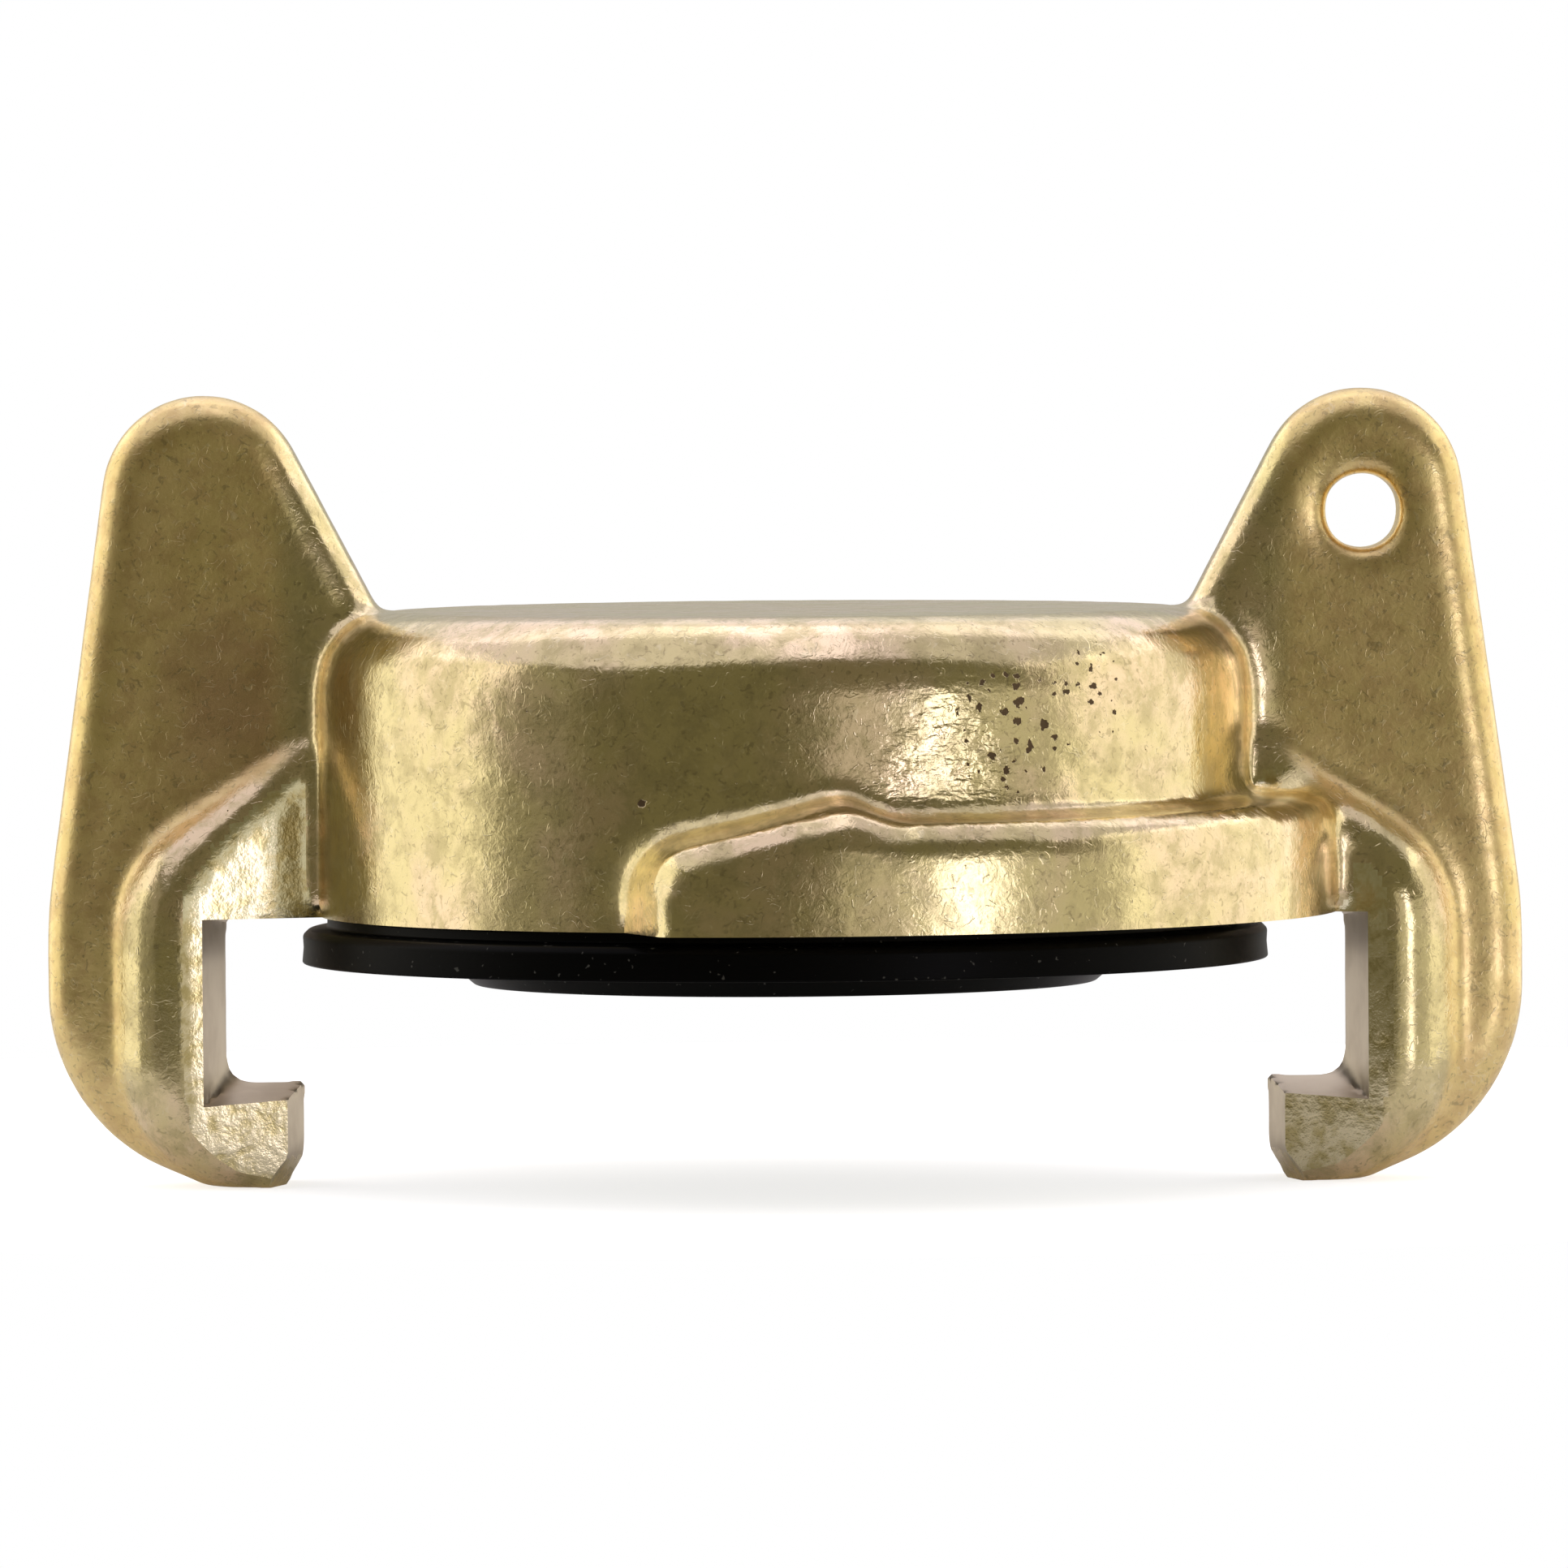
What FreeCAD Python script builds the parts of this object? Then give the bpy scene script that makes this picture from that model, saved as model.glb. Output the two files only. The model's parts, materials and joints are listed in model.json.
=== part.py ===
import FreeCAD, Part
import math
import os

Vector = FreeCAD.Vector

# Blanking cap of a claw hose coupling: one brass drop forging with two hook claws, two
# ramps and two finger fins, and one rubber seal that snaps into a groove of its cup.
# Millimetres. X runs across the claws, Y is the direction in which the forging dies open.
# Heights are drawn from the machined mating face, and the finished pieces are lifted by
# claw_drop, so that the claws stand on Z = 0.

# Claws
claw_distance = 40.0        # between the two hook tips, the size that all such couplings share
claw_drop = 11.2            # mating face above the foot of the claws
claw_half_width = 4.3       # parting plane to the flat end of a claw
claw_thickness = 4.7        # wall behind the slot to the outer flank
claw_root = 4.0             # how far the claws and fins run into the barrel
hook_length = 3.2           # hook tip to the wall behind the slot
hook_tip_height = 3.1       # straight part of the hook's tip, above its slanted nose
hook_tip_radius = 0.3
hook_nose_run = 1.0         # how far the nose slants back on its way down
hook_nose_radius = 1.2
slot_height = 6.9           # mating face to the hook's upper side
slot_ceiling_radius = 0.4
slot_floor_radius = 0.9
slot_draft = 12.0            # degrees
shoulder_slope = 31.4       # degrees, from the barrel down to the outer flank
shoulder_corner = 2.5       # mating face to the corner between shoulder and flank
shoulder_radius = 5.4
heel_radius = 5.6           # round of the claw from its flank to its foot
heel_trim = 0.3             # cut off the rounded heel to give a flat foot
claw_edge_radius = 2.7      # round between the flank and the flat end
claw_face_lean = 17.0       # degrees, the flat end turns a little towards the axis
flank_draft = 4.0           # degrees

# Barrel and cup
barrel_clearance = 0.7      # between the barrel and the hooks of the mating coupling
barrel_height = 12.6        # mating face to the closed top
barrel_top_radius = 3.0
barrel_wall = 3.1           # barrel's outside to the groove
groove_undercut = 1.6       # groove's wall to its narrower mouth
groove_lip = 1.4            # thickness of the lip that holds the seal's collar
groove_depth = 4.0          # mating face to the groove's ceiling
groove_shelf = 3.2          # groove's wall to the cup's wall
cup_ceiling = 2.6           # thickness of the closed top
cup_corner = 1.5            # bevel between the cup's wall and its ceiling

# Fins
fin_stand = 2.7             # claw's flank to the fin's outer edge at its widest
fin_top_setback = 6.6       # that outer edge to the centre of the fin's rounded top
fin_top_height = 17.4       # mating face to that centre
fin_top_radius = 4.2
fin_inner_lean = 27.7       # degrees from upright
fin_knee_height = 0.2       # mating face to the corner where the outer edge turns upright
fin_knee_radius = 22.0
fin_heel_radius = 8.1
fin_half_thickness = 2.05
fin_edge_radius = 1.45      # soft round all along the fin's edge
chain_hole_drop = 0.9       # centre of the rounded top to the hole, in the right fin only
chain_hole_radius = 1.6

# Ramps
ramp_clearance = 0.2        # between a ramp and the slot wall of the mating coupling
ramp_start = -4.7           # left end of the front ramp at its outer face
ramp_entry_height = 3.1     # top of the lead-in slope at its start
ramp_crest = 3.0            # place of the crest
ramp_crest_height = 5.05
ramp_height = 4.35          # level run beyond the crest
ramp_drop_run = 1.4         # crest to the level run
ramp_entry_radius = 1.6
ramp_crest_radius = 0.9
ramp_edge_bevel = 0.35      # around the ramp's outer face
ramp_end_draft = 20.0       # degrees
ramp_lead_draft = 10.0      # degrees
ramp_level_draft = 1.5      # degrees

# Seal
seal_clearance = 0.1        # between the rubber and the groove's walls
seal_rim_overhang = 0.75    # barrel's outside to the rim
seal_waist = 0.12           # how far the rim is hollowed between its two edges
seal_neck_step = 0.3        # barrel's outside to the neck
seal_neck_height = 0.45
seal_shoulder_drop = 0.35
seal_rim_bottom = 1.95      # mating face to the underside of the rim
seal_lip_step = 0.6         # groove's mouth to the lip's outside
seal_lip_depth = 2.9        # mating face to the lowest point of the lip
seal_lip_flat = 1.1         # lip's outside to its flat
seal_lip_round = 0.5
seal_bore_step = 2.0        # cup's wall to the seal's bore

round_steps = 4             # straight steps in a quarter round
hidden = 1.5                # how far a plate runs into the block that carries it

# Radii and places that follow from those sizes
hook_tip = claw_distance / 2
slot_wall = hook_tip + hook_length
claw_outside = slot_wall + claw_thickness
barrel_radius = hook_tip - barrel_clearance
groove_radius = barrel_radius - barrel_wall
groove_mouth_radius = groove_radius - groove_undercut
cup_radius = groove_radius - groove_shelf
fin_reach = claw_outside + fin_stand
fin_top_offset = fin_reach - fin_top_setback
ramp_radius = slot_wall - ramp_clearance


def rise(run, degrees):
    return run * math.tan(math.radians(degrees))


def inset(corners, insets):
    """Outline with its sides moved inwards, each by its own amount.

    Corners are (x, z, radius) and run anticlockwise as seen from the front. Side i runs
    from corner i to the next one. Every round gets tighter with the move.
    """
    count = len(corners)
    sides = []
    for index in range(count):
        x, z, _ = corners[index]
        next_x, next_z, _ = corners[(index + 1) % count]
        length = math.hypot(next_x - x, next_z - z)
        along = ((next_x - x) / length, (next_z - z) / length)
        inward = (-along[1], along[0])
        move = insets[index]
        sides.append((x + inward[0] * move, z + inward[1] * move, along))
    moved = []
    for index in range(count):
        x, z, along = sides[index - 1]
        other_x, other_z, other_along = sides[index]
        turn = along[0] * other_along[1] - along[1] * other_along[0]
        reach = (other_x - x) * other_along[1] - (other_z - z) * other_along[0]
        reach = reach / turn
        radius = corners[index][2]
        if radius > 0:
            radius = max(radius - (insets[index - 1] + insets[index]) / 2, 0.1)
        moved.append((x + along[0] * reach, z + along[1] * reach, radius))
    return moved


def outline(corners, y):
    """Closed wire in the plane Y = y through corners (x, z, radius), each corner rounded."""
    count = len(corners)
    points = [Vector(x, y, z) for x, z, _ in corners]
    backs = []
    fronts = []
    reaches = []
    for index in range(count):
        back = (points[index - 1] - points[index]).normalize()
        front = (points[(index + 1) % count] - points[index]).normalize()
        backs.append(back)
        fronts.append(front)
        half = back.getAngle(front) / 2
        reaches.append(corners[index][2] / math.tan(half))
    # A round never takes more of a side than is there.
    shares = [1.0] * count
    for index in range(count):
        following = (index + 1) % count
        side = (points[following] - points[index]).Length
        needed = reaches[index] + reaches[following]
        if needed > 0.98 * side:
            share = 0.98 * side / needed
            shares[index] = min(shares[index], share)
            shares[following] = min(shares[following], share)
    edges = []
    last = None
    first = None
    for index in range(count):
        reach = reaches[index] * shares[index]
        start = points[index] + backs[index] * reach
        end = points[index] + fronts[index] * reach
        if last is not None:
            edges.append(Part.LineSegment(last, start).toShape())
        else:
            first = start
        if reach > 0:
            half = backs[index].getAngle(fronts[index]) / 2
            radius = reach * math.tan(half)
            middle_way = (backs[index] + fronts[index]).normalize()
            centre = points[index] + middle_way * (radius / math.sin(half))
            middle = centre - middle_way * radius
            edges.append(Part.Arc(start, middle, end).toShape())
        last = end
    edges.append(Part.LineSegment(last, first).toShape())
    return Part.Wire(edges)


def stacked(corners, layers):
    """Block ruled through its outline at several planes; a layer is (y, insets)."""
    wires = [outline(inset(corners, insets), y) for y, insets in layers]
    return Part.makeLoft(wires, True, True)


def both_sides(layers):
    """Layers from the far side to the near side of the parting plane."""
    return [(-y, insets) for y, insets in reversed(layers)] + layers


def quarter_round(radius):
    """Steps of a quarter round as (inset, advance), from along the side to across it."""
    steps = []
    for step in range(1, round_steps + 1):
        angle = math.pi / 2 * step / round_steps
        steps.append((radius * (1 - math.cos(angle)), radius * math.sin(angle)))
    return steps


def turned(profile):
    """Solid turned about Z from the corners (radius, z) of a closed profile."""
    points = [Vector(radius, 0, z) for radius, z in profile]
    face = Part.Face(Part.makePolygon(points + points[:1]))
    return face.revolve(Vector(0, 0, 0), Vector(0, 0, 1), 360)


def claw_corners():
    """Outline of the right claw at the parting plane, from inside the barrel and round."""
    root = barrel_radius - claw_root
    hook_top = -slot_height
    foot = -claw_drop - heel_trim
    return [
        (root, 0, 0),
        (slot_wall, 0, slot_ceiling_radius),
        (slot_wall, hook_top, slot_floor_radius),
        (hook_tip, hook_top, hook_tip_radius),
        (hook_tip, hook_top - hook_tip_height, hook_nose_radius),
        (hook_tip + hook_nose_run, foot, 0),
        (claw_outside, foot, heel_radius),
        (claw_outside, shoulder_corner, shoulder_radius),
        (root, shoulder_corner + rise(claw_outside - root, shoulder_slope), 0),
    ]


def claw_insets(y, flank_round):
    """Draft of the right claw's sides at a distance y from the parting plane."""
    slot = rise(y, slot_draft)
    flank = rise(y, flank_draft) + flank_round
    return [0, slot, slot, slot, slot, flank, flank, flank, 0]


def claw():
    """Right claw: drafted both ways from the parting plane, flank edges rounded, foot flat."""
    straight = claw_half_width - claw_edge_radius
    layers = [(straight, claw_insets(straight, 0))]
    for flank_round, advance in quarter_round(claw_edge_radius):
        y = straight + advance
        layers.append((y, claw_insets(y, flank_round)))
    far_layers = [(-y, insets) for y, insets in reversed(layers)]
    parting_layer = [(0, claw_insets(0, 0))]
    block = stacked(claw_corners(), far_layers + parting_layer + layers)
    size = 4 * claw_outside
    ground = Part.makeBox(size, size, size)
    ground.translate(Vector(-size / 2, -size / 2, -claw_drop - size))
    # The flat ends fall away from where the flank's round begins towards the axis.
    crest = claw_outside - claw_edge_radius
    trims = [ground]
    for side in (-1, 1):
        trim = Part.makeBox(size, size, size)
        trim.translate(Vector(-size, 0 if side > 0 else -size, -size / 2))
        trim.rotate(Vector(0, 0, 0), Vector(0, 0, 1), side * claw_face_lean)
        trim.translate(Vector(crest, side * claw_half_width, 0))
        trims.append(trim)
    return block.cut(trims)


def fin_corners():
    """Outline of the right fin, from inside the barrel and round behind the claw."""
    root = barrel_radius - claw_root
    inner = math.radians(fin_inner_lean)
    # The outer edge is the tangent from the knee to the rounded top.
    to_knee = math.hypot(fin_top_setback, fin_top_height - fin_knee_height)
    outer = math.atan2(fin_top_setback, fin_top_height - fin_knee_height)
    outer -= math.asin(fin_top_radius / to_knee)
    inner_x = fin_top_offset - fin_top_radius * math.cos(inner)
    inner_z = fin_top_height + fin_top_radius * math.sin(inner)
    outer_x = fin_top_offset + fin_top_radius * math.cos(outer)
    outer_z = fin_top_height + fin_top_radius * math.sin(outer)
    # The two edges, carried on upwards, meet above the rounded top.
    gap = outer_x - inner_x + (outer_z - inner_z) * math.tan(outer)
    peak_rise = gap / (math.tan(inner) + math.tan(outer))
    peak = (inner_x + peak_rise * math.tan(inner), inner_z + peak_rise)
    valley_z = barrel_height - hidden
    valley_x = inner_x - (inner_z - valley_z) * math.tan(inner)
    toe = fin_reach - fin_heel_radius - hidden / 2
    toe_z = -slot_height - hidden
    return [
        (root, hidden, 0),
        (slot_wall + hidden, hidden, 0),
        (slot_wall + hidden, toe_z, 0),
        (toe, toe_z, 0),
        (toe, -claw_drop, 0),
        (fin_reach, -claw_drop, fin_heel_radius),
        (fin_reach, fin_knee_height, fin_knee_radius),
        (peak[0], peak[1], fin_top_radius),
        (valley_x, valley_z, 0),
        (root, valley_z, 0),
    ]


def fin():
    """Right fin: a plate with a soft round all along its free edge."""
    corners = fin_corners()
    straight = fin_half_thickness - fin_edge_radius
    layers = [(straight, [0] * 10)]
    for edge_round, advance in quarter_round(fin_edge_radius):
        layers.append((straight + advance, [0] * 4 + [edge_round] * 4 + [0] * 2))
    return stacked(corners, both_sides(layers))


def ramp():
    """Front ramp, from its lead-in at the left to the right claw."""
    end = slot_wall
    start = ramp_start
    corners = [
        (start, 0, 0),
        (end, 0, 0),
        (end, ramp_height, 0),
        (ramp_crest + ramp_drop_run, ramp_height, ramp_crest_radius),
        (ramp_crest, ramp_crest_height, ramp_crest_radius),
        (start, ramp_entry_height, ramp_entry_radius),
    ]
    level = -rise(ramp_radius, ramp_level_draft)
    lead = -rise(ramp_radius, ramp_lead_draft)
    nose = -rise(ramp_radius, ramp_end_draft)
    at_axis = [0, 0, level, level, lead, nose]
    block = stacked(corners, [(-ramp_radius, [0] * 6), (0, at_axis)])
    rounds = Part.makeCylinder(ramp_radius, 2 * ramp_crest_height)
    rounds.rotate(Vector(0, 0, 0), Vector(0, 0, 1), 90)
    block = block.common(rounds).Solids[0]
    outer_edges = []
    for edge in block.Edges:
        ends = [vertex.Point for vertex in edge.Vertexes]
        at_radius = all(abs(math.hypot(end.x, end.y) - ramp_radius) < 0.001 for end in ends)
        in_face = all(end.z < 0.001 for end in ends)
        in_claw = all(end.y > -0.001 for end in ends)
        if at_radius and not in_face and not in_claw:
            outer_edges.append(edge)
    return block.makeChamfer(ramp_edge_bevel, outer_edges)


def cup():
    """Room inside the cap: the groove of the seal with its lip, and the cup above it."""
    ceiling = barrel_height - cup_ceiling
    return turned([
        (0, -hidden),
        (groove_mouth_radius, -hidden),
        (groove_mouth_radius, groove_lip),
        (groove_radius, groove_lip),
        (groove_radius, groove_depth),
        (cup_radius, groove_depth),
        (cup_radius, ceiling - cup_corner),
        (cup_radius - cup_corner, ceiling),
        (0, ceiling),
    ])


def barrel():
    profile = [(0, 0), (barrel_radius, 0), (barrel_radius, barrel_height - barrel_top_radius)]
    for step_in, advance in quarter_round(barrel_top_radius):
        profile.append((barrel_radius - step_in, barrel_height - barrel_top_radius + advance))
    profile.append((0, barrel_height))
    return turned(profile)


def coupling_body():
    wing = claw().fuse(fin())
    hole = Part.makeCylinder(
        chain_hole_radius,
        4 * fin_half_thickness,
        Vector(fin_top_offset, -2 * fin_half_thickness, fin_top_height - chain_hole_drop),
        Vector(0, 1, 0),
    )
    right = wing.cut(hole)
    half_turn = FreeCAD.Rotation(Vector(0, 0, 1), 180)
    left = wing.copy()
    left.Placement = FreeCAD.Placement(Vector(0, 0, 0), half_turn)
    front = ramp()
    back = front.copy()
    back.Placement = FreeCAD.Placement(Vector(0, 0, 0), half_turn)
    body = barrel().fuse([right, left, front, back])
    return body.cut(cup()).removeSplitter().Solids[0]


def rubber_seal():
    """Ring with a collar in the groove, a neck and rim under the mating face, and a lip."""
    collar = groove_radius - seal_clearance
    throat = groove_mouth_radius - seal_clearance
    collar_top = groove_depth - seal_clearance
    collar_bottom = groove_lip + seal_clearance
    neck = barrel_radius - seal_neck_step
    rim = barrel_radius + seal_rim_overhang
    rim_top = -seal_neck_height - seal_shoulder_drop
    rim_middle = (rim_top - seal_rim_bottom) / 2
    lip = groove_mouth_radius - seal_lip_step
    bore = cup_radius - seal_bore_step
    profile = [(bore, collar_top), (bore, seal_lip_round - seal_lip_depth)]
    for step_in, advance in quarter_round(seal_lip_round):
        profile.append((bore + step_in, seal_lip_round - seal_lip_depth - advance))
    profile += [
        (lip - seal_lip_flat, -seal_lip_depth),
        (lip, -seal_rim_bottom),
        (rim, -seal_rim_bottom),
        (rim - seal_waist, rim_middle),
        (rim, rim_top),
        (neck, -seal_neck_height),
        (neck, 0),
        (throat, 0),
        (throat, collar_bottom),
        (collar, collar_bottom),
        (collar, collar_top),
    ]
    return turned(profile)


os.makedirs("parts", exist_ok=True)
for name, shape in (("coupling_body", coupling_body()), ("rubber_seal", rubber_seal())):
    shape.translate(Vector(0, 0, claw_drop))
    shape.exportStep("parts/" + name + ".step")
    box = shape.BoundBox
    print(name, "valid", shape.isValid(), "solids", len(shape.Solids),
          "volume cm3", round(shape.Volume / 1000, 3),
          "box", [round(value, 2) for value in
                  (box.XMin, box.XMax, box.YMin, box.YMax, box.ZMin, box.ZMax)])
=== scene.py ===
"""Looks of the claw coupling cap: a forged brass body and a black rubber seal."""

import json
import math

import bmesh
import bpy
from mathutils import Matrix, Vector

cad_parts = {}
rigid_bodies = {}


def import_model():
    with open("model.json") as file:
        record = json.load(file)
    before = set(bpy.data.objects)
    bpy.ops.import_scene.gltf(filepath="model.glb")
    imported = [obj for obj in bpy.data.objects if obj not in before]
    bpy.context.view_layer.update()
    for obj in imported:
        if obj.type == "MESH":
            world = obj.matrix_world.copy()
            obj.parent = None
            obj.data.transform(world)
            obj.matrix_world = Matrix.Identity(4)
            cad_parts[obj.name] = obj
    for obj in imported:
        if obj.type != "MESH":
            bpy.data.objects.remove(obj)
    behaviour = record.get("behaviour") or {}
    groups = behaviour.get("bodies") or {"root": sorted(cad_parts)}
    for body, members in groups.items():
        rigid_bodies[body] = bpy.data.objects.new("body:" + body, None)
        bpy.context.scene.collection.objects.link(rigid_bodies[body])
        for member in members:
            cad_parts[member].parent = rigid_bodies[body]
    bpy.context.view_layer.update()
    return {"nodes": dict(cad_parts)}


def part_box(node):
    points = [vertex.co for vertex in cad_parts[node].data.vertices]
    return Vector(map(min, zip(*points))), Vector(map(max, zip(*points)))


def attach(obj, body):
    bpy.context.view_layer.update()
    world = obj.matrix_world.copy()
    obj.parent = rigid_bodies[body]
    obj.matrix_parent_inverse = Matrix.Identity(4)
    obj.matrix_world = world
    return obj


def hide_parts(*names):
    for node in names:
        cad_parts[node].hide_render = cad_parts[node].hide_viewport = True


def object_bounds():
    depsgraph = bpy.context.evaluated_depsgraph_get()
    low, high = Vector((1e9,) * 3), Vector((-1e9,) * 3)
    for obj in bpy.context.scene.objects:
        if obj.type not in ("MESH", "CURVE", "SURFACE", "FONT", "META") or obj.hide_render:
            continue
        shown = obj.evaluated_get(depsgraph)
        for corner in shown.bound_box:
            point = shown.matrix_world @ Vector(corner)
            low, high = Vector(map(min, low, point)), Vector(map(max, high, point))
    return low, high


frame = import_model()

MM = 0.001

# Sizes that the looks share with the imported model
seal_low, seal_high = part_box("rubber_seal")
face_height = 11.2 * MM
barrel_top = face_height + 12.6 * MM
barrel_radius = 19.3 * MM
cup_radius = 17.2 * MM
slot_wall = 23.2 * MM
hook_foot = 1.2 * MM
ramp_radius = 23.0 * MM
ramp_start = -4.7 * MM
ramp_crest = 3.0 * MM
fin_start = 20.0 * MM

# Numbers of the brass body's finishes, in the order in which it is dressed
slot_finish = 1
sheared_finish = 2

brass_triangles = 190000
seal_sides = 256


def make_active(piece):
    bpy.ops.object.select_all(action="DESELECT")
    piece.select_set(True)
    bpy.context.view_layer.objects.active = piece


def apply_modifier(piece, kind, **settings):
    """Adds a modifier with these settings and applies it to the piece's mesh."""
    make_active(piece)
    modifier = piece.modifiers.new(kind.lower(), kind)
    for name, value in settings.items():
        setattr(modifier, name, value)
    bpy.ops.object.modifier_apply(modifier=modifier.name)


def edit(piece):
    """The piece's mesh, open for editing with nothing selected."""
    make_active(piece)
    bpy.ops.object.mode_set(mode="EDIT")
    bpy.ops.mesh.select_mode(type="VERT")
    bpy.ops.mesh.select_all(action="DESELECT")
    return bmesh.from_edit_mesh(piece.data)


def done_editing():
    bpy.ops.object.mode_set(mode="OBJECT")


def select_vertices(mesh, test):
    for vertex in mesh.verts:
        if test(vertex):
            vertex.select = True
    mesh.select_flush_mode()


def drop_vertices(mesh, test):
    for vertex in mesh.verts:
        if vertex.select and test(vertex.co):
            vertex.select = False
    mesh.select_flush_mode()


def middle_of(edge):
    return (edge.verts[0].co + edge.verts[1].co) / 2


def select_edges(mesh, test):
    for edge in mesh.edges:
        if test(edge, middle_of(edge)):
            for vertex in edge.verts:
                vertex.select = True
    mesh.select_flush_mode()


def smooth_selected(passes):
    bpy.ops.mesh.vertices_smooth(factor=0.5, repeat=passes)


# Places on the brass body

def inside_cup(place):
    level = face_height - 0.3 * MM < place.z < barrel_top - 0.8 * MM
    return place.xy.length < cup_radius and level


def in_slot(place):
    return abs(place.x) < slot_wall + 1.3 * MM and place.z < face_height + 0.35 * MM


def on_mating_face(place):
    return abs(place.x) < slot_wall + 0.5 * MM and abs(place.z - face_height) < 0.25 * MM


def on_ramp(place):
    """True beside the barrel on the front ramp or, half a turn on, the rear one."""
    side = -1 if place.y < 0 else 1
    return -side * place.x > ramp_start - 0.5 * MM and abs(place.x) < slot_wall - 1.5 * MM


def fold_of(edge):
    """Signed angle between the two faces of an edge: below zero in a hollow corner."""
    if not edge.is_manifold:
        return 0.0
    return edge.calc_face_angle_signed()


def soften_roots(piece):
    """Blends the hollow corners where fins, claws and ramps grow out of the barrel."""
    mesh = edit(piece)
    select_edges(mesh, lambda edge, place: (
        fold_of(edge) < -math.radians(12)
        and not inside_cup(place)
        and not in_slot(place)))
    for reach, passes in ((2, 14), (1, 6)):
        for _ in range(reach):
            bpy.ops.mesh.select_more()
        drop_vertices(mesh, on_mating_face)
        smooth_selected(passes)
    done_editing()


def soften_skin(piece):
    """Rounds the forged skin, and leaves the slots, the mating face and the room inside crisp."""
    mesh = edit(piece)
    crisp = set()
    for edge in mesh.edges:
        place = middle_of(edge)
        sharp = abs(fold_of(edge)) > math.radians(35)
        if sharp and (place.z < face_height + 0.3 * MM or inside_cup(place)):
            crisp.update(edge.verts)
    near = set(crisp)
    for vertex in crisp:
        for link in vertex.link_edges:
            near.add(link.other_vert(vertex))
    select_vertices(mesh, lambda vertex: vertex not in near and not inside_cup(vertex.co))
    smooth_selected(8)
    bpy.ops.object.vertex_group_assign_new()
    piece.vertex_groups.active.name = "skin"
    done_editing()


def ripple_skin(piece):
    """Slow shallow waves that a forging die leaves in the skin."""
    ripples = bpy.data.textures.new("skin_ripples", "CLOUDS")
    ripples.noise_scale = 1.1 * MM
    ripples.noise_depth = 2
    apply_modifier(piece, "DISPLACE", texture=ripples, texture_coords="LOCAL", mid_level=0.5,
                   strength=0.022 * MM, vertex_group="skin")


def finish_faces(piece, test, finish):
    """Gives the faces that pass the test the piece's material of that number."""
    mesh = edit(piece)
    bpy.ops.mesh.select_mode(type="FACE")
    for face in mesh.faces:
        if test(face):
            face.select = True
    mesh.select_flush_mode()
    piece.active_material_index = finish
    bpy.ops.object.material_slot_assign()
    done_editing()


def slot_face(face):
    """Sides of the claws' slots and the hooks' tips."""
    place = face.calc_center_median()
    inside = barrel_radius < abs(place.x) < slot_wall + 1.0 * MM
    level = hook_foot < place.z < face_height + 0.05 * MM
    return inside and level and abs(face.normal.y) < 0.6


def sheared_face(face):
    """Flat ends of the claws, where the flash was sheared off, turned a little to the barrel."""
    place = face.calc_center_median()
    front_or_rear = abs(face.normal.y) > 0.9
    turned_in = face.normal.x * place.x < -0.12 * abs(place.x)
    on_claw = abs(place.x) > barrel_radius - 1 * MM and place.z < face_height + 6 * MM
    return front_or_rear and turned_in and on_claw


def crown_ramps(piece):
    """Rounds the ramps' outer faces towards their top ridge and their free end."""
    mesh = edit(piece)
    select_vertices(mesh, lambda vertex: (
        vertex.co.xy.length > ramp_radius - 0.8 * MM
        and vertex.co.z > face_height + 1.6 * MM
        and on_ramp(vertex.co)))
    smooth_selected(44)
    bpy.ops.mesh.select_all(action="DESELECT")
    select_vertices(mesh, lambda vertex: (
        vertex.co.xy.length > barrel_radius + 0.9 * MM
        and vertex.co.z > face_height + 3.6 * MM
        and vertex.co.x * vertex.co.y < 0
        and abs(abs(vertex.co.x) - ramp_crest) < 2.2 * MM))
    smooth_selected(24)
    done_editing()


def round_shoulders(piece):
    """Rounds the long edge between a claw's sloping shoulder and its flat end."""
    mesh = edit(piece)
    select_edges(mesh, lambda edge, place: (
        place.z > face_height + 1.0 * MM
        and abs(place.y) > 1.8 * MM
        and barrel_radius + 0.4 * MM < abs(place.x) < slot_wall + 1.6 * MM
        and fold_of(edge) > math.radians(12)))
    for _ in range(3):
        bpy.ops.mesh.select_more()
    drop_vertices(mesh, lambda place: place.xy.length < barrel_radius + 0.3 * MM)
    smooth_selected(30)
    done_editing()


def forged_body():
    """Brass body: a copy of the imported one, with blended roots and a softened forging skin."""
    node = frame["nodes"]["coupling_body"]
    piece = bpy.data.objects.new("brass_forging", node.data.copy())
    bpy.context.collection.objects.link(piece)
    edit(piece)
    bpy.ops.mesh.select_all(action="SELECT")
    bpy.ops.mesh.remove_doubles(threshold=0.002 * MM)
    done_editing()
    apply_modifier(piece, "REMESH", mode="SHARP", octree_depth=8, scale=0.94, sharpness=1.0,
                   use_remove_disconnected=False)
    soften_roots(piece)
    soften_skin(piece)
    crown_ramps(piece)
    round_shoulders(piece)
    ripple_skin(piece)
    triangles = 2 * len(piece.data.polygons)
    apply_modifier(piece, "DECIMATE", ratio=brass_triangles / triangles)
    make_active(piece)
    bpy.ops.object.shade_smooth_by_angle(angle=math.radians(32))
    return piece


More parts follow.
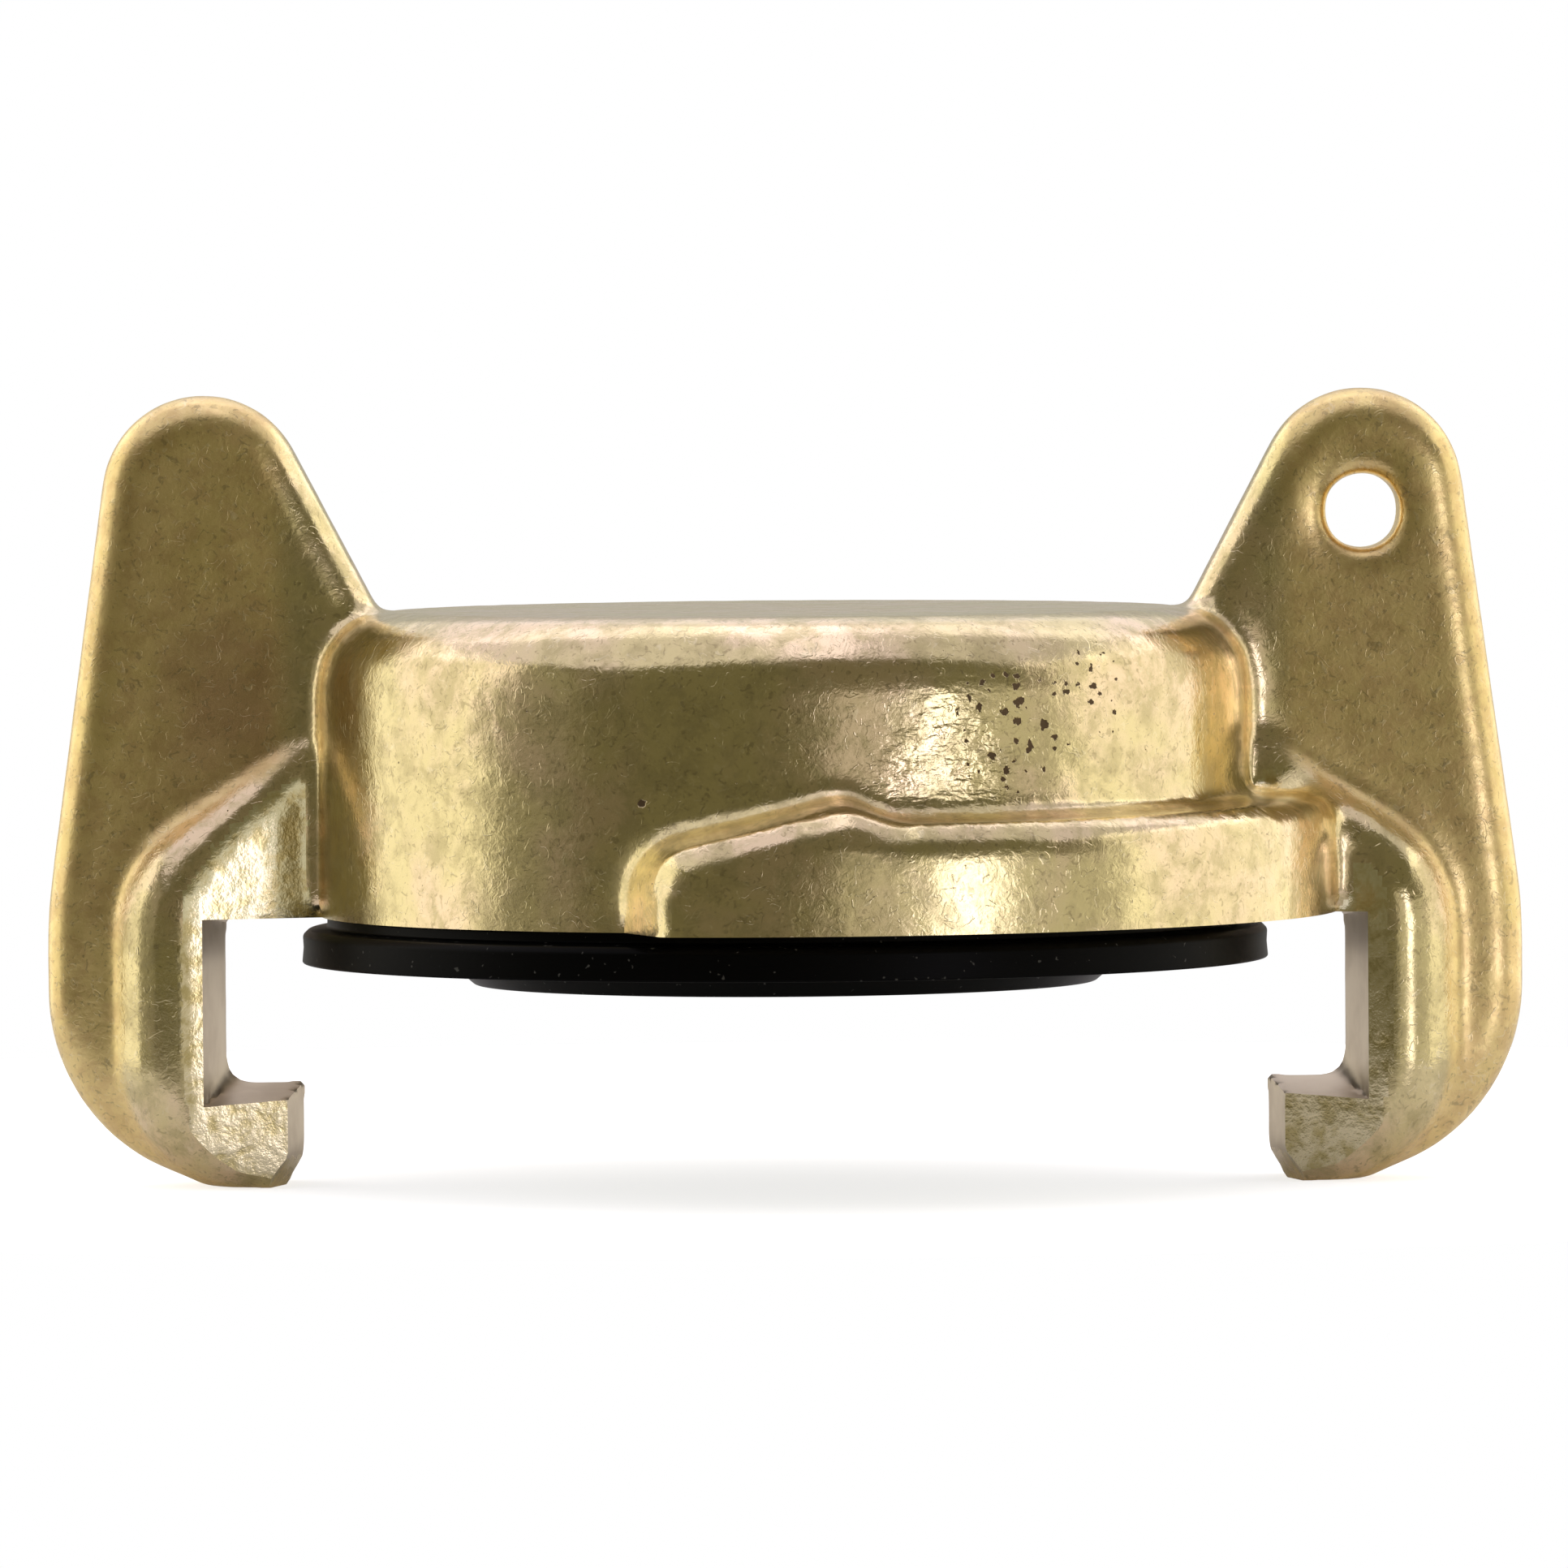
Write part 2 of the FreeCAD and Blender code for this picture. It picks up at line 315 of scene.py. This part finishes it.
def turned_ring(name, rings, sides):
    """Ring about the Z axis: a circle extruded from ring to ring, each (radius, height)."""
    radius, height = rings[0]
    bpy.ops.object.select_all(action="DESELECT")
    bpy.ops.mesh.primitive_circle_add(vertices=sides, radius=radius, location=(0, 0, height))
    piece = bpy.context.active_object
    piece.name = name
    bpy.ops.object.transform_apply(location=True, rotation=True, scale=True)
    bpy.ops.object.mode_set(mode="EDIT")
    bpy.ops.mesh.select_all(action="SELECT")
    for next_radius, next_height in rings[1:] + rings[:1]:
        bpy.ops.mesh.extrude_edges_move(
            TRANSFORM_OT_translate={"value": (0, 0, next_height - height)})
        growth = next_radius / radius
        bpy.ops.transform.resize(value=(growth, growth, 1), center_override=(0, 0, next_height))
        radius, height = next_radius, next_height
    bpy.ops.mesh.select_all(action="SELECT")
    bpy.ops.mesh.remove_doubles(threshold=0.005 * MM)
    bpy.ops.mesh.normals_make_consistent(inside=False)
    done_editing()
    return piece


def seal_ring():
    """Black rubber seal: collar in the groove, neck, hollowed rim and drooping lip."""
    bottom = seal_low.z
    top = seal_high.z
    bore = 11.0 * MM
    lip = 12.9 * MM
    lip_root = 14.0 * MM
    neck = 14.5 * MM
    collar = 16.1 * MM
    seat = 19.0 * MM
    rim = seal_high.x
    rim_foot = face_height - 1.95 * MM
    collar_foot = face_height + 1.5 * MM
    piece = turned_ring("black_seal", [
        (bore, top),
        (bore, bottom),
        (lip, bottom),
        (lip_root, rim_foot),
        (rim, rim_foot),
        (rim - 0.06 * MM, face_height - 1.3 * MM),
        (rim - 0.03 * MM, face_height - 0.80 * MM),
        (rim - 0.28 * MM, face_height - 0.55 * MM),
        (seat, face_height - 0.45 * MM),
        (seat, face_height),
        (neck, face_height),
        (neck, collar_foot),
        (collar, collar_foot),
        (collar, top),
    ], seal_sides)
    apply_modifier(piece, "BEVEL", width=0.09 * MM, segments=3, limit_method="ANGLE",
                   angle_limit=math.radians(15))
    make_active(piece)
    bpy.ops.object.shade_smooth_by_angle(angle=math.radians(40))
    return piece


# Node helpers for the materials

def new_material(name):
    material = bpy.data.materials.new(name)
    material.use_nodes = True
    tree = material.node_tree
    shader = tree.nodes["Principled BSDF"]
    return material, tree, shader


def add_node(tree, kind, **settings):
    node = tree.nodes.new(kind)
    for name, value in settings.items():
        setattr(node, name, value)
    return node


def object_place(tree):
    return add_node(tree, "ShaderNodeTexCoord").outputs["Object"]


def noise(tree, place, scale, detail=2.0, roughness=0.5, distortion=0.0):
    node = add_node(tree, "ShaderNodeTexNoise")
    tree.links.new(place, node.inputs["Vector"])
    node.inputs["Scale"].default_value = scale
    node.inputs["Detail"].default_value = detail
    node.inputs["Roughness"].default_value = roughness
    node.inputs["Distortion"].default_value = distortion
    return node.outputs["Fac"]


def spread(tree, value, low, high, out_low=0.0, out_high=1.0):
    """Value mapped from low..high to out_low..out_high, smoothly and clamped."""
    node = add_node(tree, "ShaderNodeMapRange", interpolation_type="SMOOTHSTEP")
    tree.links.new(value, node.inputs["Value"])
    node.inputs["From Min"].default_value = low
    node.inputs["From Max"].default_value = high
    node.inputs["To Min"].default_value = out_low
    node.inputs["To Max"].default_value = out_high
    return node.outputs["Result"]


def calculate(tree, operation, first, second):
    node = add_node(tree, "ShaderNodeMath", operation=operation)
    for socket, value in zip(node.inputs, (first, second)):
        if isinstance(value, (int, float)):
            socket.default_value = value
        else:
            tree.links.new(value, socket)
    return node.outputs[0]


def multiply(tree, first, second):
    return calculate(tree, "MULTIPLY", first, second)


def blend_colours(tree, share, first, second):
    """The first colour, giving way to the second where the share nears 1."""
    node = add_node(tree, "ShaderNodeMix", data_type="RGBA")
    for socket, value in zip((node.inputs[0], node.inputs[6], node.inputs[7]),
                             (share, first, second)):
        if isinstance(value, (int, float)):
            socket.default_value = value
        elif isinstance(value, tuple):
            socket.default_value = (*value, 1.0)
        else:
            tree.links.new(value, socket)
    return node.outputs[2]


def bump(tree, height, strength, depth, under=None):
    node = add_node(tree, "ShaderNodeBump")
    tree.links.new(height, node.inputs["Height"])
    node.inputs["Strength"].default_value = strength
    node.inputs["Distance"].default_value = depth
    if under is not None:
        tree.links.new(under, node.inputs["Normal"])
    return node.outputs["Normal"]


def distance_from(tree, place, centre):
    node = add_node(tree, "ShaderNodeVectorMath", operation="DISTANCE")
    tree.links.new(place, node.inputs[0])
    node.inputs[1].default_value = centre
    return node.outputs["Value"]


def stretched(tree, place, scale, tilt=0.0):
    """Place with its axes scaled, and turned about X by an angle in degrees."""
    node = add_node(tree, "ShaderNodeMapping")
    tree.links.new(place, node.inputs["Vector"])
    node.inputs["Scale"].default_value = scale
    node.inputs["Rotation"].default_value = (math.radians(tilt), 0, 0)
    return node.outputs["Vector"]


def strokes_of(tree, place, scale, width):
    """Short curved strokes: the level lines of a noise, broken up by another."""
    level = noise(tree, place, scale, detail=1, distortion=0.8)
    from_level = calculate(tree, "ABSOLUTE", calculate(tree, "SUBTRACT", level, 0.5), 0.0)
    line = spread(tree, from_level, 0.0, width, 1.0, 0.0)
    gaps = noise(tree, place, scale * 1.3, detail=1)
    return multiply(tree, line, spread(tree, gaps, 0.50, 0.60))


def on_barrel(x, height):
    """Place on the front of the barrel, x from the axis and height above the mating face."""
    return (x, -math.sqrt(barrel_radius ** 2 - x ** 2), face_height + height)


def pitting(tree, place):
    """Pores: a cluster on the barrel's right front that thins to its right, and lone pits."""
    cluster_place = on_barrel(9.1 * MM, 8.1 * MM)
    trail_place = on_barrel(12.2 * MM, 9.4 * MM)
    lone_pits = (
        (on_barrel(-5.7 * MM, 5.2 * MM), 0.24 * MM),
        (on_barrel(-8.2 * MM, 11.1 * MM), 0.16 * MM),
        (on_barrel(12.4 * MM, 11.6 * MM), 0.2 * MM),
    )
    wobble = noise(tree, place, 5200, detail=3)
    cells = add_node(tree, "ShaderNodeTexVoronoi", voronoi_dimensions="2D")
    tree.links.new(stretched(tree, place, (1, 1, 1), tilt=90), cells.inputs["Vector"])
    cells.inputs["Scale"].default_value = 2000
    cell_random = add_node(tree, "ShaderNodeSeparateColor")
    tree.links.new(cells.outputs["Color"], cell_random.inputs[0])
    cell_size = spread(tree, cell_random.outputs[0], 0.15, 1.0, 0.0, 0.52)
    near_cluster = distance_from(tree, place, cluster_place)
    cluster = spread(tree, near_cluster, 1.3 * MM, 3.6 * MM, 1.0, 0.0)
    near_trail = distance_from(tree, place, trail_place)
    trail = spread(tree, near_trail, 0.8 * MM, 3.4 * MM, 0.70, 0.0)
    crowd = calculate(tree, "MAXIMUM", cluster, trail)
    reach = multiply(tree, crowd, cell_size)
    ragged = calculate(tree, "ADD", cells.outputs["Distance"], multiply(tree, wobble, 0.8))
    deep = calculate(tree, "SUBTRACT", calculate(tree, "ADD", reach, 0.32), ragged)
    marks = spread(tree, deep, 0.0, 0.08)
    for pit_place, radius in lone_pits:
        near_pit = distance_from(tree, place, pit_place)
        ragged_edge = calculate(tree, "ADD", near_pit, multiply(tree, wobble, 0.25 * MM))
        pit = spread(tree, ragged_edge, radius, radius + 0.07 * MM, 1.0, 0.0)
        marks = calculate(tree, "MAXIMUM", marks, pit)
    return marks


def skin_material():
    """Satin forged skin of the brass, wrinkled, blotched with green and pink gold, and pitted."""
    green_gold = (0.82, 0.70, 0.38)
    pink_gold = (0.91, 0.72, 0.49)
    olive = (0.58, 0.49, 0.26)
    fin_gold = (0.95, 0.73, 0.31)
    fin_brown = (0.66, 0.45, 0.22)
    stain_brown = (0.50, 0.31, 0.18)
    pale_gold = (0.97, 0.86, 0.62)
    speck_brown = (0.36, 0.29, 0.16)
    pore_brown = (0.16, 0.11, 0.065)
    stain_place = (-22.5 * MM, 0, face_height + 9.0 * MM)
    patch_place = on_barrel(6.6 * MM, 6.2 * MM)

    material, tree, shader = new_material("forged_brass_skin")
    place = object_place(tree)

    # Colour: gold that drifts from green to pink, clouded with olive
    drift = noise(tree, place, 150, detail=4, roughness=0.6, distortion=0.2)
    gold = blend_colours(tree, spread(tree, drift, 0.40, 0.60), green_gold, pink_gold)
    cloud = noise(tree, place, 620, detail=5, roughness=0.7, distortion=0.3)
    gold = blend_colours(tree, spread(tree, cloud, 0.42, 0.64, 0.0, 0.78), gold, olive)

    # The fins' flat sides are warmer, with brown mottles and a brown stain on the left one
    from_axis = distance_from(tree, stretched(tree, place, (1, 0, 0)), (0, 0, 0))
    from_middle = distance_from(tree, stretched(tree, place, (0, 1, 0)), (0, 0, 0))
    on_fin = multiply(tree, spread(tree, from_axis, fin_start, fin_start + 1.5 * MM),
                      spread(tree, from_middle, 2.3 * MM, 2.9 * MM, 1.0, 0.0))
    gold = blend_colours(tree, multiply(tree, on_fin, 0.7), gold, fin_gold)
    mottle = spread(tree, noise(tree, place, 900, detail=4, roughness=0.7), 0.42, 0.62)
    mottle = multiply(tree, mottle, multiply(tree, on_fin, 0.45))
    gold = blend_colours(tree, mottle, gold, fin_brown)
    stain = spread(tree, distance_from(tree, place, stain_place), 1.0 * MM, 6.5 * MM, 0.75, 0.0)
    stain = multiply(tree, stain, spread(tree, drift, 0.35, 0.55))
    stain = multiply(tree, stain, on_fin)
    gold = blend_colours(tree, stain, gold, stain_brown)

    # Pale strokes, brown specks, and the pores
    strokes = strokes_of(tree, place, 1500, 0.03)
    gold = blend_colours(tree, multiply(tree, strokes, 0.32), gold, pale_gold)
    specks = noise(tree, place, 2600, detail=2, roughness=0.6, distortion=1.5)
    gold = blend_colours(tree, spread(tree, specks, 0.57, 0.69, 0.0, 0.50), gold, speck_brown)
    pores = pitting(tree, place)
    gold = blend_colours(tree, pores, gold, pore_brown)
    tree.links.new(gold, shader.inputs["Base Color"])

    # Gloss: satin, duller in the clouds, on the fins and in the pores
    shader.inputs["Metallic"].default_value = 1.0
    satin = calculate(tree, "ADD", spread(tree, cloud, 0.35, 0.68, 0.17, 0.27),
                      multiply(tree, on_fin, 0.13))
    tree.links.new(calculate(tree, "ADD", satin, multiply(tree, pores, 0.4)),
                   shader.inputs["Roughness"])

    # Relief: a crumpled patch, orange peel, strokes, fine grain, and the pores pressed in
    near_patch = distance_from(tree, place, patch_place)
    patch = spread(tree, near_patch, 2.2 * MM, 4.2 * MM, 1.0, 0.15)
    wrinkles = noise(tree, stretched(tree, place, (1, 1, 2.2)), 1100, detail=3)
    peel = noise(tree, place, 2300, detail=3, roughness=0.6, distortion=1.2)
    grain = noise(tree, place, 7500, detail=2, roughness=0.6)
    relief = bump(tree, multiply(tree, wrinkles, patch), 0.8, 0.10 * MM)
    relief = bump(tree, peel, 0.6, 0.022 * MM, under=relief)
    relief = bump(tree, strokes, 0.4, 0.010 * MM, under=relief)
    relief = bump(tree, grain, 0.35, 0.005 * MM, under=relief)
    hollows = calculate(tree, "SUBTRACT", 1.0, pores)
    relief = bump(tree, hollows, 0.8, 0.10 * MM, under=relief)
    tree.links.new(relief, shader.inputs["Normal"])
    return material


def slot_material():
    """Smooth, dull, slightly pink brass of the slots, rubbed by other couplings."""
    dull_pink = (0.73, 0.62, 0.48)
    light_pink = (0.83, 0.72, 0.57)
    material, tree, shader = new_material("rubbed_slot_brass")
    place = object_place(tree)
    cloud = noise(tree, place, 380, detail=3, roughness=0.6)
    brass_colour = blend_colours(tree, spread(tree, cloud, 0.35, 0.65), dull_pink, light_pink)
    tree.links.new(brass_colour, shader.inputs["Base Color"])
    shader.inputs["Metallic"].default_value = 1.0
    shader.inputs["Roughness"].default_value = 0.50
    grain = noise(tree, place, 3000, detail=3)
    tree.links.new(bump(tree, grain, 0.3, 0.01 * MM), shader.inputs["Normal"])
    return material


def sheared_material():
    """Bright crumpled brass where the forging's flash was sheared off, paler above the slots; its
    folds carry a painted highlight and its hollows painted shade.
    """
    # Painted highlight and shade: the fold colours are paler for the raised folds, the hollow
    # colours darker for the hollows between them
    shaded_hollow_below = (0.58, 0.48, 0.23)
    shaded_hollow_above = (0.84, 0.70, 0.38)
    lit_fold_below = (0.88, 0.77, 0.52)
    lit_fold_above = (1.0, 0.92, 0.66)
    material, tree, shader = new_material("sheared_end_brass")
    place = object_place(tree)
    folds = noise(tree, place, 1150, detail=4, roughness=0.68, distortion=0.25)
    height = distance_from(tree, stretched(tree, place, (0, 0, 1)), (0, 0, 0))
    above_slot = spread(tree, height, face_height - 2.0 * MM, face_height + 1.0 * MM)
    shaded_hollow_colour = blend_colours(tree, above_slot, shaded_hollow_below, shaded_hollow_above)
    lit_fold_colour = blend_colours(tree, above_slot, lit_fold_below, lit_fold_above)
    # Painted highlight and shade: the colour follows the bump's folds, pale where they rise and
    # dark where they sink
    lit_fold_share = spread(tree, folds, 0.35, 0.6)
    tree.links.new(blend_colours(tree, lit_fold_share, shaded_hollow_colour, lit_fold_colour),
                   shader.inputs["Base Color"])
    shader.inputs["Metallic"].default_value = 1.0
    shader.inputs["Roughness"].default_value = 0.17
    grain = noise(tree, place, 5200, detail=2)
    relief = bump(tree, folds, 0.5, 0.046 * MM)
    relief = bump(tree, grain, 0.4, 0.010 * MM, under=relief)
    tree.links.new(relief, shader.inputs["Normal"])
    return material


def rubber_material():
    """Black moulded rubber, a little shiny, with fine dust."""
    black = (0.0016, 0.0016, 0.0016)
    dust_grey = (0.07, 0.07, 0.065)
    material, tree, shader = new_material("black_rubber")
    place = object_place(tree)
    skin = noise(tree, place, 2600, detail=3)
    dust = spread(tree, noise(tree, place, 3800, detail=1), 0.72, 0.78)
    colour = blend_colours(tree, dust, black, dust_grey)
    tree.links.new(colour, shader.inputs["Base Color"])
    shader.inputs["Roughness"].default_value = 0.38
    shader.inputs["Specular IOR Level"].default_value = 0.05
    tree.links.new(bump(tree, skin, 0.3, 0.01 * MM), shader.inputs["Normal"])
    return material


def dress(piece, *materials):
    piece.data.materials.clear()
    for material in materials:
        piece.data.materials.append(material)


# Object

brass = forged_body()
dress(brass, skin_material(), slot_material(), sheared_material())
finish_faces(brass, slot_face, slot_finish)
finish_faces(brass, sheared_face, sheared_finish)
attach(brass, "root")
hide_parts("coupling_body")

seal = seal_ring()
dress(seal, rubber_material())
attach(seal, "root")
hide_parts("rubber_seal")

# Camera: the photograph's view, a little above level and half a metre off

photo_pixels = 1932
pixel_size = 0.0337 * MM
field_width = photo_pixels * pixel_size
camera_distance = 540 * MM
camera_elevation = math.radians(2.0)
camera_roll = math.radians(0.41)
aim_height = face_height + 5.3 * MM
sensor_width = 36.0
nearest_seen = 0.01
farthest_seen = 20

camera_data = bpy.data.cameras.new("camera")
camera_data.sensor_width = sensor_width
camera_data.lens = sensor_width * camera_distance / field_width
camera_data.clip_start = nearest_seen
camera_data.clip_end = farthest_seen
camera = bpy.data.objects.new("camera", camera_data)
bpy.context.collection.objects.link(camera)
bpy.context.scene.camera = camera
aim = Vector((0, 0, aim_height))
away = Vector((0, -math.cos(camera_elevation), math.sin(camera_elevation)))
camera.location = aim + away * camera_distance
camera.rotation_euler = (-away).to_track_quat("-Z", "Y").to_euler()
camera.rotation_euler.rotate_axis("Z", -camera_roll)

# Floor: a pale round plate that the cap stands on

def glow_for(tree, seen_by_camera, seen_in_gloss):
    """Strength of a white glow for rays straight from the camera, and in glosses and glass."""
    path = add_node(tree, "ShaderNodeLightPath")
    reflected = calculate(tree, "MAXIMUM", path.outputs["Is Glossy Ray"],
                          path.outputs["Is Transmission Ray"])
    reflected = multiply(tree, reflected, seen_in_gloss)
    direct = multiply(tree, path.outputs["Is Camera Ray"], seen_by_camera)
    return calculate(tree, "ADD", direct, reflected)


foot_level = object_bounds()[0][2]
floor_centre = (0, 0.03, foot_level)
floor_radius = 0.075
floor_sides = 128
floor_glow = 0.75
floor_gloss = 0.1

bpy.ops.mesh.primitive_circle_add(vertices=floor_sides, radius=floor_radius, fill_type="NGON",
                                  location=floor_centre)
floor = bpy.context.active_object
floor.name = "floor"
floor_material, floor_tree, floor_shader = new_material("pale_floor")
floor_shader.inputs["Base Color"].default_value = (0.80, 0.80, 0.80, 1)
floor_shader.inputs["Roughness"].default_value = 0.9
floor_shader.inputs["Specular IOR Level"].default_value = 0.1
floor_shader.inputs["Emission Color"].default_value = (1, 1, 1, 1)
floor_tree.links.new(glow_for(floor_tree, floor_glow, floor_gloss),
                     floor_shader.inputs["Emission Strength"])
dress(floor, floor_material)

# World: a white backdrop behind the cap, and a dim room on the camera's side

white = (1.0, 1.0, 1.0)
room = (0.150, 0.137, 0.080)
backdrop_glow = 1.0
backdrop_gloss = 0.38

world = bpy.data.worlds.new("studio")
bpy.context.scene.world = world
world.use_nodes = True
world_tree = world.node_tree
background = world_tree.nodes["Background"]
toward = add_node(world_tree, "ShaderNodeTexCoord").outputs["Generated"]
split = add_node(world_tree, "ShaderNodeSeparateXYZ")
world_tree.links.new(toward, split.inputs[0])
behind = spread(world_tree, split.outputs["Y"], 0.3, 0.8)
backdrop = multiply(world_tree, behind, glow_for(world_tree, backdrop_glow, backdrop_gloss))
room_light = blend_colours(world_tree, backdrop, room, white)
world_path = add_node(world_tree, "ShaderNodeLightPath")
shown = blend_colours(world_tree, world_path.outputs["Is Camera Ray"], room_light, white)
world_tree.links.new(shown, background.inputs["Color"])
background.inputs["Strength"].default_value = 1.0

# Lamps: warm boxes at the sides, and a narrow key and overhead boxes that are cooler

cool = (1.0, 0.96, 1.14)
warm = (1.0, 0.96, 0.88)


def soft_lamp(name, azimuth, elevation, width, height, radiance, colour, distance=0.9):
    """Area lamp aimed at the cap. Azimuth 0 is the camera's side, and 90 is the right."""
    data = bpy.data.lights.new(name, "AREA")
    data.color = colour
    data.shape = "RECTANGLE"
    data.size = width
    data.size_y = height
    data.energy = radiance * math.pi * width * height
    lamp = bpy.data.objects.new(name, data)
    bpy.context.collection.objects.link(lamp)
    turn_to = math.radians(azimuth)
    lift = math.radians(elevation)
    side = Vector((math.sin(turn_to) * math.cos(lift), -math.cos(turn_to) * math.cos(lift),
                   math.sin(lift)))
    lamp.location = aim + side * distance
    lamp.rotation_euler = side.to_track_quat("Z", "Y").to_euler()


# Each lamp's azimuth, elevation, width, height, radiance and colour
soft_lamp("left_box", -112, 12, 1.30, 0.9, 1.02, warm)
soft_lamp("left_fill", -70, 10, 0.70, 0.6, 0.12, warm, distance=1.1)
soft_lamp("right_box", 112, 12, 1.45, 0.9, 1.00, warm)
soft_lamp("right_fill", 44, -2, 1.35, 0.46, 0.40, warm, distance=1.0)
soft_lamp("key", 37.5, -2, 0.21, 0.36, 2.05, cool)
soft_lamp("overhead", -80, 68, 1.3, 1.1, 0.63, cool)
soft_lamp("overhead_right", 100, 62, 1.1, 1.1, 0.50, cool)
soft_lamp("overhead_back", 180, 48, 1.5, 0.8, 0.60, cool)

# Standard colours

bpy.context.scene.view_settings.view_transform = "Standard"
